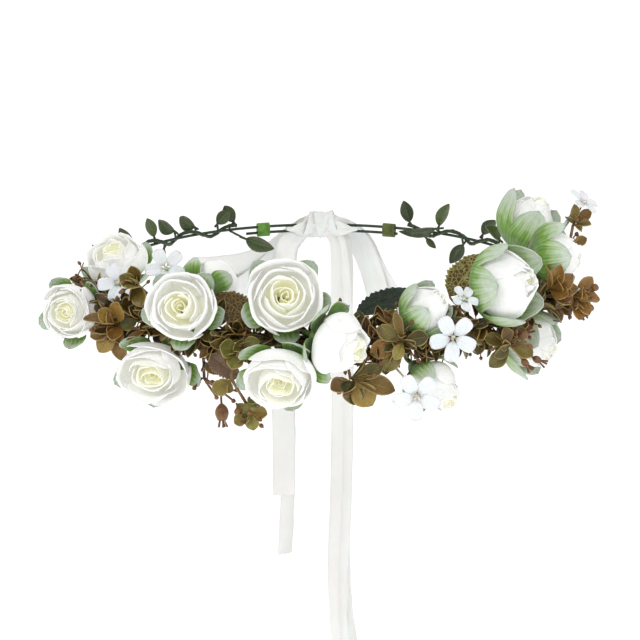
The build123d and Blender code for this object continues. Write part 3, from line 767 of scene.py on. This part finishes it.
def companions(leaves, wood, pods, base, tip, up, width, tone, seed, hue):
    """Smaller leaves and a budded twig beside a leaf, from the same joint of the stem."""
    run = tip - base
    for j in range(3):
        swing = Matrix.Rotation(rng.uniform(0, 2 * math.pi), 3, Vector(unit(run)))
        sideways = np.array(swing @ Vector(up))
        way = unit(unit(run) + sideways * rng.uniform(0.5, 1.1))
        reach = np.linalg.norm(run) * rng.uniform(0.55, 0.95)
        end = base + way * reach
        if blocked(end) or blocked(base + way * reach * 0.6, 0.95):
            continue
        if j < 2:
            normal = facing(unit(np.cross(way, np.cross(sideways, way) + rng.normal(size=3) * 0.3)), end)
            leaf(
                leaves, base, end, normal, width * rng.uniform(0.55, 0.85), cup=rng.uniform(0.2, 0.6),
                bend=rng.uniform(-0.1, 0.15), tone=tone + rng.uniform(-0.35, 0.25), seed=seed + j, nu=11,
                nv=14, hue=hue)
        else:
            knee = base + way * reach * 0.6 + rng.normal(size=3) * 0.0008
            rod(wood, [base, knee, end], (0.38 * MM, 0.28 * MM), count=8, seed=seed, tone=tone, around=7)
            turned(pods, end - way * 0.4 * MM, way, TWIG_BUD, around=9, seed=seed)


# Tone of each sprig's leaves, and how green they are against brown
TONES = {1: (0.62, 0.15), 2: (0.5, 0.7), 3: (0.4, 0.4), 4: (0.55, 0.85), 5: (0.55, 0.45), 6: (0.5, 0.5),
         7: (0.6, 0.55), 8: (0.62, 0.1), 9: (0.6, 0.2)}


def sprig(number):
    name = f"sprig_{number}"
    leaves, wood, pods = Mesh(), Mesh(), Mesh()
    for k, points in enumerate(islands(name)):
        mid, axes, ext = measure(points)
        kind = kind_of(ext)
        tone, green = TONES[number]
        tone, hue = tone + rng.uniform(-0.3, 0.3), float(np.clip(green + rng.uniform(-0.4, 0.4), 0, 1))
        a, b = ends_of(mid, axes, ext)
        h, r = ext[0], ext[2] / 2
        if kind == "leaf":
            base, tip = base_and_tip(points, mid, axes, ext)
            up = facing(axes[2], mid)
            leaf(leaves, base, tip + (tip - base) * 0.04, up, ext[1] * 1.06, cup=rng.uniform(0.15, 0.4),
                 bend=rng.uniform(-0.04, 0.12), tone=tone, seed=k + number * 9, hue=hue)
            companions(leaves, wood, pods, base, tip, up, ext[1], tone, k + number * 9, hue)
        elif kind == "stem":
            rod(wood, [a, mid, b], r * 0.95, seed=k, rough=0.2, tone=tone)
        elif kind == "bead":
            turned(
                pods, a, axes[0], [(0, 0), (r * 0.64, h * 0.1), (r, h * 0.45), (r * 0.60, h * 0.85),
                (0.0, h * 1.05)], seed=k, tone=tone)
        elif kind == "pod":
            proj = (points - mid) @ axes[0]
            radial = np.linalg.norm((points - mid) - proj[:, None] * axes[0], axis=1)
            narrow_first = radial[proj < -0.4 * h].max() < radial[proj > 0.4 * h].max()
            axis = axes[0] if narrow_first else -axes[0]
            profile = [(0, 0), (r * 0.3, h * 0.02), (r * 0.82, h * 0.25), (r, h * 0.55), (r * 0.72, h * 0.88),
                       (r * 0.42, h * 0.97), (0, h * 0.92)]
            turned(pods, mid - axis * h / 2, axis, profile, seed=k)
        elif kind == "spike":
            rod(pods, [a, mid, b], (0.45 * MM, 0.18 * MM), count=6, seed=k, tone=0.2, around=6)
        else:
            rod(wood, bent_line(points, 0.6 * MM), 0.6 * MM, count=24, seed=k, rough=0.2, tone=tone)
    obj = leaves.build(f"{name}_leaves", OLIVE, "sprig", thick=0.35 * MM)
    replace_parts(obj, name)
    if wood.n:
        wood.build(f"{name}_stems", TWIG, "sprig")
    if pods.n:
        pods.build(f"{name}_pods", POD_SKIN, "sprig")


for number in range(1, 10):
    sprig(number)


# Radius and height of one grain of a star flower's eye
STAMEN = np.array([(0, 0), (0.5, 0.3), (0.5, 0.9), (0, 1.3)]) * MM


def star_flower(number):
    name = f"star_flower_{number}"
    petals, heart = Mesh(), Mesh()
    for k, points in enumerate(islands(name)):
        mid, axes, ext = measure(points)
        kind = kind_of(ext)
        if kind == "leaf":
            base, tip = base_and_tip(points, mid, axes, ext)
            leaf(petals, base, tip + (tip - base) * 0.08, facing(axes[2], mid), ext[1] * 1.1, "petal",
                 cup=rng.uniform(0.1, 0.3), bend=rng.uniform(-0.04, 0.12), seed=k + number * 13)
        elif kind == "bead":
            for j in range(7):
                d = unit(rng.normal(size=3)) * 0.5 * MM
                turned(heart, mid + d - axes[0] * 0.7 * MM, axes[0], STAMEN, around=8, seed=j)
        else:
            a, b = ends_of(mid, axes, ext)
            line = bent_line(points, 0.5 * MM) if kind == "bent" else [a, mid, b]
            rod(heart, line, 0.45 * MM, count=16, seed=k, rough=0.15, tone=0.0)
    obj = petals.build(f"{name}_petals", STAR, "star_petal", thick=0.25 * MM)
    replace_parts(obj, name)
    heart.build(f"{name}_eye", STAR_EYE, "star_petal")


for number in range(1, 7):
    star_flower(number)

for number, mat, slot in (
        (1, GREEN_BLADE, "leaf_green"), (2, NET_BLADE, "leaf_brown"), (3, BROWN_BLADE, "leaf_brown"),
        (4, RED_BLADE, "leaf_brown")):
    parts = sorted(islands(f"leaf_{number}"), key=lambda p: -np.ptp(p, axis=0).max() * measure(p)[2][1])
    mid, axes, ext = measure(parts[0])
    a, b = sorted(ends_of(mid, axes, ext), key=near_ring)
    blade, stalk = Mesh(), Mesh()
    leaf(blade, a, b, facing(axes[2], mid), ext[1] * 1.04, "broad", cup=0.10, bend=0.06, teeth=14,
         seed=number, nu=25)
    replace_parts(blade.build(f"leaf_{number}_blade", mat, slot, thick=0.35 * MM), f"leaf_{number}")
    foot = min(ends_of(*measure(parts[1])), key=near_ring)
    sag = (0, 0, -0.6 * MM)
    rod(stalk, [foot, (foot + a) / 2 + sag, a, a + (b - a) * 0.12], (0.55 * MM, 0.4 * MM), count=16,
        seed=number, tone=0.3)
    stalk.build(f"leaf_{number}_stalk", TWIG, slot)

for name in ("left_vine", "right_vine"):
    leaves, stems = Mesh(), Mesh()
    parts = islands(name)
    longest = max(range(len(parts)), key=lambda i: len(parts[i]))
    for k, points in enumerate(parts):
        mid, axes, ext = measure(points)
        if k == longest:
            around = np.degrees(np.arctan2(points[:, 0], -points[:, 1]))
            line = []
            for a in np.linspace(around.min(), around.max(), 60):
                pick = points[np.abs(around - a) < 0.8]
                if len(pick) > 3:
                    line.append((pick.max(0) + pick.min(0)) / 2)
            rod(stems, line, 0.8 * MM, count=160, seed=k, rough=0.35)
        elif ext[1] < 1.6 * MM:
            half = axes[0] * (ext[0] / 2 + 0.3 * MM)
            rod(stems, [mid - half, mid, mid + half], 0.5 * MM, count=10, seed=k, rough=0.2)
        else:
            base, tip = base_and_tip(points, mid, axes, ext)
            leaf(leaves, base, tip, facing(axes[2], mid), ext[1] * 0.92, "point", cup=0.5, bend=0.08,
                 tone=0.5 + rng.uniform(-0.3, 0.3), seed=k)
            rod(
                stems, [base - (tip - base) * 0.22, base, base + (tip - base) * 0.1], 0.5 * MM, count=6,
                seed=k)
    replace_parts(leaves.build(f"{name}_leaves", VINE, "vine", thick=0.4 * MM), name)
    stems.build(f"{name}_stems", VINE_STEM, "vine")

# ---- foliage tucked along the wrap
# Leaf whorls between neighbouring roses, in mm: root on the ring, fork, leaf tips, width, tone, green
WHORLS_BETWEEN = [
    ((85.6, -28.0, 0.0), (88.5, -35.0, 4.5),
     ((86.5, -41.0, 16.0), (92.0, -41.0, 16.5), (97.0, -39.5, 12.5), (99.5, -38.0, 6.0), (97.0, -39.0, 0.0),
      (91.5, -43.0, 10.0), (95.0, -42.0, 4.5)), 7.0, 0.62, 0.05),
    ((88.5, -16.0, -1.0), (93.0, -18.0, -4.0),
     ((99.0, -21.0, -1.0), (101.0, -19.0, -5.0), (98.5, -20.0, -10.0), (94.5, -22.0, -12.5),
      (97.0, -24.0, -6.5)), 5.5, 0.45, 0.0),
]
# Angles from the front, in degrees, that filler is tried at: along the whole wrap, then more at its front
FILLER_RANGES = [(-84, 108)] * 520 + [(-48, 40)] * 180


def filler():
    """Small dark leaves and hair-thin budded twigs that hide the tape between the flowers."""
    low, high = (np.array(c) for c in cad_box)
    leaves, twigs, buds = Mesh(), Mesh(), Mesh()
    for k, angles in enumerate(FILLER_RANGES):
        a = math.radians(rng.uniform(*angles))
        t = rng.uniform(-2.2, 2.2)
        radial, tangent = np.array([math.sin(a), -math.cos(a), 0]), np.array([math.cos(a), math.sin(a), 0])
        away = radial * math.cos(t) + np.array([0, 0, 1]) * math.sin(t)
        root = radial * RING_R + away * 1.9 * MM
        way = unit(away + tangent * rng.normal() * 0.9)
        long = rng.uniform(7, 13) * MM
        end = root + way * long
        mid = root + way * long * 0.55
        if blocked(end, 1.04) or blocked(mid) or math.hypot(end[0], end[1]) < 80 * MM:
            continue
        if not (np.all(end > low + 0.002) and np.all(end < high - 0.002)):
            continue
        if k % 3:
            normal = facing(unit(np.cross(way, tangent + rng.normal(size=3) * 0.5)), end)
            leaf(leaves, root, end, normal, rng.uniform(3.2, 5.5) * MM, cup=rng.uniform(0.2, 0.7),
                 bend=rng.uniform(-0.15, 0.2), tone=rng.uniform(-0.2, 0.5), seed=k, nu=11, nv=14,
                 hue=rng.uniform(0, 1) ** 1.5)
        else:
            knee = mid + rng.normal(size=3) * 0.0015
            rod(twigs, [root, knee, end], (0.45 * MM, 0.25 * MM), count=9, seed=k, tone=rng.uniform(0, 1),
                around=7)
            if k % 2 == 0:
                turned(buds, end - way * 0.4 * MM, way, FILLER_BUD, around=8, seed=k)
    for n, (root, fork, tips, width, tone, hue) in enumerate(WHORLS_BETWEEN):
        root, fork = np.array(root) * MM, np.array(fork) * MM
        rod(twigs, [root, (root + fork) / 2 + (0, 0, 0.0008), fork], (0.7 * MM, 0.5 * MM), count=12, seed=n,
            tone=0.4)
        for j, tip in enumerate(tips):
            tip = np.array(tip) * MM
            normal = unit(np.array((0.25, -0.9, 0.35)) + rng.normal(size=3) * 0.3)
            leaf(leaves, fork, tip, normal, width * MM * rng.uniform(0.85, 1.1),
                 cup=rng.uniform(0.2, 0.5), bend=rng.uniform(0.0, 0.2), tone=tone + rng.uniform(-0.25, 0.2),
                 seed=700 + n * 20 + j, hue=hue)
    leaves.build("filler_leaves", OLIVE, "sprig", thick=0.3 * MM)
    twigs.build("filler_twigs", TWIG, "sprig")
    buds.build("filler_buds", POD_SKIN, "sprig")


filler()

# ---- ring
for name, mat in (("base_wire", WIRE), ("left_end_tape", BRIGHT_TAPE), ("right_end_tape", OLIVE_TAPE)):
    NODES[name].data.materials.clear()
    NODES[name].data.materials.append(mat)


def tape_wrap():
    """Crepe tape wound round the ring: each turn's edge stands a little above the last."""
    pitch, thin, step = 5.2 * MM, 2.05 * MM, 0.28 * MM
    z = np.array([0, 0, 1])
    points = np.array([v.co for v in NODES["front_wrap"].data.vertices])
    around = np.arctan2(points[:, 0], -points[:, 1])
    a = np.linspace(around.min(), around.max(), 520)[:, None]
    t = np.linspace(0, 2 * np.pi, 26, endpoint=False)[None, :]
    phase = (a * RING_R / pitch + t / (2 * np.pi)) % 1.0
    r = thin + step * phase
    radial = np.stack([np.sin(a), -np.cos(a), 0 * a], -1)
    grid = radial * (RING_R + r * np.cos(t))[..., None] + z * (r * np.sin(t))[..., None]
    lump = wobble(grid, 260, 3) * 0.35 * MM + wobble(grid, 900, 5) * 0.12 * MM
    grid = grid + (radial * (np.cos(t) * lump)[..., None] + z * (np.sin(t) * lump)[..., None])
    wrap = Mesh()
    wrap.add(grid, wrap=True, tone=0.5)
    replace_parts(wrap.build("tape_wrap", BROWN_TAPE, "brown_tape"), "front_wrap")


tape_wrap()


# ---- ribbon
RIBBON_W = 10 * MM
# Widths of a strip that leaves the knot gathered and opens to its full width
GATHERED = [6 * MM, 8.5 * MM]
# How far back the ends and the loops start inside the knot
TAIL_ROOT_Y, LOOP_ROOT_Y = 0.0905, 0.0915
HINGES = {j["name"]: j["pos_m"] for j in frame["joints"]}


def strip(name, line, wide, body, width=RIBBON_W, cup=0.0, count=90, crease=0.0, shear=0.0, seed=0):
    """A length of ribbon along a line; wide gives its width direction at points spread along it."""
    pts = follow(line, count)
    s = np.linspace(0, 1, count)
    dirs = np.array([unit(w) for w in wide], float)
    knots = np.linspace(0, 1, len(dirs))
    side = np.stack([np.interp(s, knots, dirs[:, k]) for k in range(3)], -1)
    tan = np.gradient(pts, axis=0)
    tan /= np.linalg.norm(tan, axis=1)[:, None]
    side -= tan * (side * tan).sum(1)[:, None]
    side /= np.linalg.norm(side, axis=1)[:, None]
    normal = np.cross(tan, side)
    w = np.interp(s, np.linspace(0, 1, len(np.atleast_1d(width))), np.atleast_1d(width))
    u = np.linspace(-1, 1, 13)
    dip = cup * (1 - u ** 2) - crease * np.exp(-((u - 0.15) / 0.22) ** 2)
    grid = (pts[:, None] + side[:, None] * (u[None, :, None] * w[:, None, None] / 2)
            + normal[:, None] * (dip[None, :, None] * w[:, None, None]))
    grid[-6:] += tan[-6:, None] * (shear * u[None, :, None] * np.linspace(0, 1, 6)[:, None, None])
    grid += normal[:, None] * (wobble(grid, 90, seed) * 0.4 * MM)[..., None]
    length = np.linalg.norm(np.diff(pts, axis=0), axis=1).sum()
    mesh = Mesh()
    mesh.add(grid, across=u[None, :], metres=(s * length)[:, None])
    obj = mesh.build(name, RIBBON, "ribbon", body, thick=0.22 * MM)
    return obj, length


def tail(node_name, body, sway, yaws, cup, crease, shear, seed):
    """A hanging end: from inside the knot, down through the CAD strip's place, to its cut end.

    sway moves points down its length, in mm, and yaws turns its width there, in degrees.
    """
    low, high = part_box(node_name)
    x, y = (low.x + high.x) / 2, (low.y + high.y) / 2
    top, bottom = high.z, low.z
    line = [(x * 0.25, TAIL_ROOT_Y, -0.001), (x * 0.62, y * 0.5 + TAIL_ROOT_Y * 0.5, -0.004),
            (x * 0.93, y, top - 0.006)]
    for k, (dx, dy) in enumerate(sway):
        drop = (bottom - top + 0.012) * (k + 1) / len(sway)
        line.append((x + dx * MM, y + dy * MM, top - 0.012 + drop))
    wide = [(math.cos(math.radians(a)), math.sin(math.radians(a)), 0) for a in yaws]
    obj, length = strip(
        node_name + "_ribbon", line, wide, None, width=GATHERED + [RIBBON_W] * 9, cup=cup, crease=crease,
        shear=shear, count=150, seed=seed)
    x, y, z = HINGES[body + "_swing"]
    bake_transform(obj)
    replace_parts(obj, node_name)


tail("tail_left_outer", "left_tails", [(0, 0), (0, 0), (0.5, 0), (0.5, 0)],
     [0, 6, 4, 2, 8], 0.04, 0.05, 0.0, 1)
tail("tail_left_inner", "left_tails", [(0, 0), (0.3, 0), (0.4, 0), (0, 0), (-1.2, 0)],
     [20, 45, 50, 52, 50], 0.10, 0.0, 0.0006, 2)
tail("tail_right_outer", "right_tails", [(0.6, 0), (0.8, 0), (0.2, 0), (-0.9, 0), (0.6, 0)],
     [0, 14, 10, 12, 30], 0.05, 0.14, 0.001, 3)
tail("tail_right_inner", "right_tails", [(0, 0), (1, 0), (1.5, 0), (1.6, 0), (3.2, 0), (7.0, 0)],
     [10, 50, 70, 84, 80, 55], 0.06, 0.0, -0.0015, 4)


def bow_loop(node_name, body, loops):
    """Ribbon loops: out of the knot along the first points, round, and back behind along the last."""
    start, pieces = HINGES[body + "_lift"], []
    for k, points in enumerate(loops):
        root = np.array((start[0] * 0.1, LOOP_ROOT_Y, -0.0005))
        inner = [root, (root + np.array(start)) / 2]
        points = [np.array(p) * MM for p in points]
        line = inner + points + [inner[1] + (0, 0.003, 0), root + (0, 0.001, 0)]
        wides = [unit(np.cross(unit(b - a), (0, 1, 0.15))) for a, b in zip(points[:4], points[1:5])]
        first, last = wides[0], wides[-1]
        dirs = [first, first, wides[1], wides[2], last, last, last, wides[2], wides[1], first]
        obj, length = strip(
            f"{node_name}_{k + 1}", line, dirs, None, width=GATHERED + [RIBBON_W] * 8 + GATHERED[::-1],
            cup=0.06, crease=0.05, count=140, seed=k + len(node_name))
        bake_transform(obj)
        pieces.append(obj)
    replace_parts(pieces[0], node_name)


bow_loop("bow_left_loop", "left_bow", [
    [(-12, 96.5, -5), (-21, 99, -14), (-34, 103, -20.5), (-48, 107, -23.5), (-55, 110, -24.5),
     (-54, 112.5, -26), (-42, 110, -27), (-28, 104.5, -21), (-16, 99, -10)],
    [(-11, 96.5, -6), (-18, 98.5, -15), (-28, 101.5, -26), (-38, 105, -34), (-42, 108, -37),
     (-41, 110.5, -38), (-33, 107.5, -33), (-23, 103, -24), (-14, 99, -10)]])
bow_loop("bow_right_loop", "right_bow", [
    [(11, 96.5, -4), (17, 99, -11), (22.5, 102.5, -22), (28.5, 106.5, -33), (31, 109.5, -38),
     (30, 112, -38.5), (26.5, 109.5, -31), (21.5, 105, -20), (15, 100, -8)],
    [(11, 96.5, -4), (17, 98.5, -11), (21.5, 101, -22), (24.5, 104, -33), (25.5, 107, -39),
     (25.5, 109.5, -39), (24.5, 106.5, -30), (21.5, 103, -19), (16, 99, -8)]])


def knot():
    """The tied knot: a folded core, two turns of ribbon round it, and a gathered band to each hairpin."""
    low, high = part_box("ribbon_knot")
    mid = np.array([(low.x + high.x) / 2, (low.y + high.y) / 2, (low.z + high.z) / 2])
    core = Mesh()
    u = np.linspace(0, 2 * np.pi, 64, endpoint=False)[None, :]
    v = np.linspace(-1, 1, 44)[:, None]
    shape = np.sqrt(np.clip(1 - np.abs(v) ** 2.6, 0, 1))
    fold = 1 + 0.13 * np.sin(u * 5 + v * 2.2) + 0.07 * np.sin(u * 9 - v * 3)
    x = mid[0] + v * 8.6 * MM + 0 * u
    y = mid[1] + shape * fold * np.cos(u) * 4.4 * MM
    z = mid[2] + 0.4 * MM + shape * fold * np.sin(u) * 5.0 * MM
    grid = np.stack([x, y, z], -1)
    grid += (wobble(grid, 260, 4) * 0.8 * MM)[..., None] * np.array([0.2, 0.5, 0.8])
    core.add(grid, wrap=True, across=0 * grid[..., 0] + 0.3, metres=grid[..., 0] * 3)
    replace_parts(core.build("knot_core", RIBBON, "ribbon"), "ribbon_knot")
    for k, (at, lean, r) in enumerate(((-2.5, 0.30, 1.0), (1.8, -0.22, 1.05))):
        ang = np.linspace(-0.4, 2 * np.pi + 0.2, 26)
        line = [(mid[0] + (at + lean * 6 * math.sin(a)) * MM, mid[1] + 5.0 * r * math.cos(a) * MM,
                 mid[2] + (0.6 + 5.9 * r * math.sin(a)) * MM) for a in ang]
        strip(f"knot_turn_{k + 1}", line, [(1, 0, 0.1), (1, 0.1, -0.1), (1, 0, 0.1)], "crown",
              width=8.5 * MM, cup=-0.10, crease=0.06, count=100, seed=20 + k)
    hole = math.radians(9.5)
    for side in (-1, 1):
        at = np.array([side * RING_R * math.sin(hole), RING_R * math.cos(hole), -1.3 * MM])
        for j, (dy, dz) in enumerate(((1, 0.4), (-1, -0.4))):
            line = [(mid[0] + side * 2 * MM, mid[1] + dy * 1.5 * MM, mid[2] + dz * MM),
                    (mid[0] + side * 8 * MM, at[1] + dy * 2.2 * MM, mid[2] + dz * MM),
                    (at[0] - side * 2.5 * MM, at[1] + dy * 2.2 * MM, at[2]),
                    (at[0] + side * 0.4 * MM, at[1] + dy * 1.4 * MM, at[2]),
                    (at[0] + side * 0.7 * MM, at[1], at[2])]
            strip(f"knot_band_{'lr'[side > 0]}{j + 1}", line, [(0, 0.1, 1), (0, -0.1, 1), (0, 0, 1)], "crown",
                  width=[9 * MM, 8.5 * MM, 6 * MM, 2.2 * MM, 1.4 * MM], cup=0.12, crease=0.1, count=50,
                  seed=30 + j)


knot()

# ---- stage, light, camera
floor_mesh = bpy.data.meshes.new("floor")
half = 4.0
corners = [(-half, -half, 0), (half, -half, 0), (half, half, 0), (-half, half, 0)]
floor_mesh.from_pydata(corners, [], [(0, 1, 2, 3)])
floor = bpy.data.objects.new("floor", floor_mesh)
floor.location = (0, 0, -0.30)
pale, tree, shader = material("pale_floor", Roughness=0.9)
paint(
    tree, shader, ramp(tree, texture(tree, NOISE, 3, 2), (0.0, (0.93, 0.93, 0.93)),
    (1.0, (0.95, 0.95, 0.95))))
shader.inputs["Emission Color"].default_value = (1, 1, 1, 1)
shader.inputs["Emission Strength"].default_value = 0.42
floor_mesh.materials.append(pale)
bpy.context.scene.collection.objects.link(floor)

world = bpy.data.worlds.new("studio")
world.use_nodes = True
background = world.node_tree.nodes["Background"]
background.inputs["Color"].default_value = (1, 1, 1, 1)
background.inputs["Strength"].default_value = 0.64
bpy.context.scene.world = world


def area(name, place, size, power):
    """A round lamp that looks at the middle of the crown."""
    data = bpy.data.lights.new(name, "AREA")
    data.shape, data.size, data.energy = "DISK", size, power
    obj = bpy.data.objects.new(name, data)
    obj.location = place
    obj.rotation_euler = (-Vector(place)).to_track_quat("-Z", "Y").to_euler()
    bpy.context.scene.collection.objects.link(obj)


area("key", (-0.6, -1.1, 1.0), 0.8, 7)
area("fill", (1.1, -0.8, 0.4), 0.9, 3)
area("top", (0.1, 0.4, 1.3), 0.9, 3)

camera_data = bpy.data.cameras.new("camera")
camera_data.lens, camera_data.sensor_width = 138.8, 36
camera_data.clip_start = 0.05
camera = bpy.data.objects.new("camera", camera_data)
target = Vector((-0.0008, 0, -0.0177))
tilt = math.radians(16)
camera.location = target + Vector((0, -math.cos(tilt), math.sin(tilt)))
camera.rotation_euler = (target - camera.location).to_track_quat("-Z", "Y").to_euler()
bpy.context.scene.collection.objects.link(camera)
bpy.context.scene.camera = camera
bpy.context.scene.view_settings.view_transform = "Standard"
